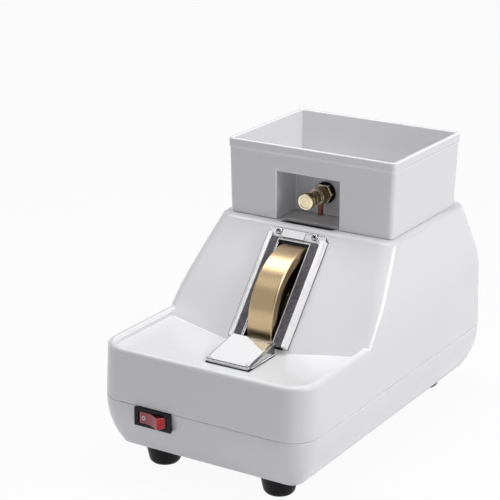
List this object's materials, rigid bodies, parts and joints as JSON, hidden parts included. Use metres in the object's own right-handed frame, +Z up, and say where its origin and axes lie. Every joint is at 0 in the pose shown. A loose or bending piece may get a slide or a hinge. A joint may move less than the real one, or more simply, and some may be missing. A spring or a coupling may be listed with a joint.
{
  "type": "hand lens edger",
  "caption": "Bench machine for edging lenses by hand: water-fed grinding wheel behind a clear guard, drip tank on top, rocker switch in front.",
  "frame": {"origin": "on the surface it stands on, under the middle of its bounding box", "axes": "+Z up, -Y towards the operator, +X to the operator's right; the wheel and the motor turn about X"},
  "size_m": [0.174, 0.3094, 0.2163],
  "materials": {
    "white_plastic": "moulded, glossy white",
    "clear_plastic": "clear acrylic sheet, polished",
    "brass": "turned and polished",
    "wheel_metal": "bronze bond, turned sides and ground rim",
    "steel": "zinc plated",
    "iron": "painted dark grey",
    "aluminium": "die cast",
    "black_plastic": "moulded, satin black",
    "dark_plastic": "moulded, dark grey",
    "rubber": "moulded, matt black",
    "copper": "drawn tube, tarnished",
    "red_plastic": "moulded, translucent red",
    "label": "blank white film"
  },
  "bodies": {
    "machine": {"bearing_far": "steel", "bearing_near": "steel", "capacitor": "aluminium", "drain_spigot": "dark_plastic", "drive_belt": "rubber", "drive_plate": "steel", "foot_front_left": "rubber", "foot_front_right": "rubber", "foot_rear_left": "rubber", "foot_rear_right": "rubber", "foot_screw_front_left": "steel", "foot_screw_front_right": "steel", "foot_screw_rear_left": "steel", "foot_screw_rear_right": "steel", "front_rest": "clear_plastic", "guard_label": "label", "guard_screw_left": "steel", "guard_screw_right": "steel", "lower_shell": "white_plastic", "motor_cover_left": "aluminium", "motor_cover_right": "aluminium", "motor_cradle": "steel", "motor_stator": "iron", "power_inlet": "black_plastic", "rest_label": "label", "rest_screw_left": "steel", "rest_screw_right": "steel", "rest_seal": "rubber", "shell_screw_front_left": "steel", "shell_screw_front_right": "steel", "shell_screw_rear_left": "steel", "shell_screw_rear_right": "steel", "spindle_housing": "iron", "spindle_seal": "rubber", "splash_chamber": "dark_plastic", "splash_guard": "clear_plastic", "switch_body": "black_plastic", "tank_screw_left": "steel", "tank_screw_right": "steel", "terminal_block": "black_plastic", "upper_shell": "white_plastic", "valve_body": "brass", "valve_inner_nut": "brass", "valve_locknut": "brass", "valve_spout": "copper", "valve_washer": "rubber", "water_tank": "white_plastic"},
    "wheel": {"grinding_wheel": "wheel_metal", "wheel_flange_inner": "steel", "wheel_flange_outer": "steel", "wheel_nut": "steel", "spindle": "steel", "spindle_pulley": "aluminium"},
    "rotor": {"motor_rotor": "steel", "motor_fan": "black_plastic", "motor_pulley": "aluminium"},
    "rocker": {"switch_rocker": "red_plastic"},
    "stem": {"valve_stem": "brass"},
    "knob": {"valve_knob": "brass"}
  },
  "joints": [
    {"name": "wheel_spin", "type": "hinge", "parent": "machine", "child": "wheel", "pos_m": [0, -0.0118, 0.0958], "axis": [1, 0, 0], "continuous": true},
    {"name": "motor_spin", "type": "hinge", "parent": "machine", "child": "rotor", "pos_m": [0, 0.0923, 0.078], "axis": [1, 0, 0], "continuous": true},
    {"name": "switch_rock", "type": "hinge", "parent": "machine", "child": "rocker", "pos_m": [-0.03585, -0.1486, 0.048], "axis": [0, 0, 1], "range_deg": [0, 26]},
    {"name": "valve_travel", "type": "slide", "parent": "machine", "child": "stem", "axis": [0, -1, 0], "range_m": [0, 0.0016]},
    {"name": "valve_turn", "type": "hinge", "parent": "stem", "child": "knob", "pos_m": [-0.002, 0.0053, 0.1758], "axis": [0, -1, 0], "range_deg": [0, 720]}
  ],
  "couplings": [
    {"joint": "motor_spin", "follows": "wheel_spin", "ratio": 0.83333},
    {"joint": "valve_turn", "follows": "valve_travel", "rad_per_m": 7854}
  ]
}
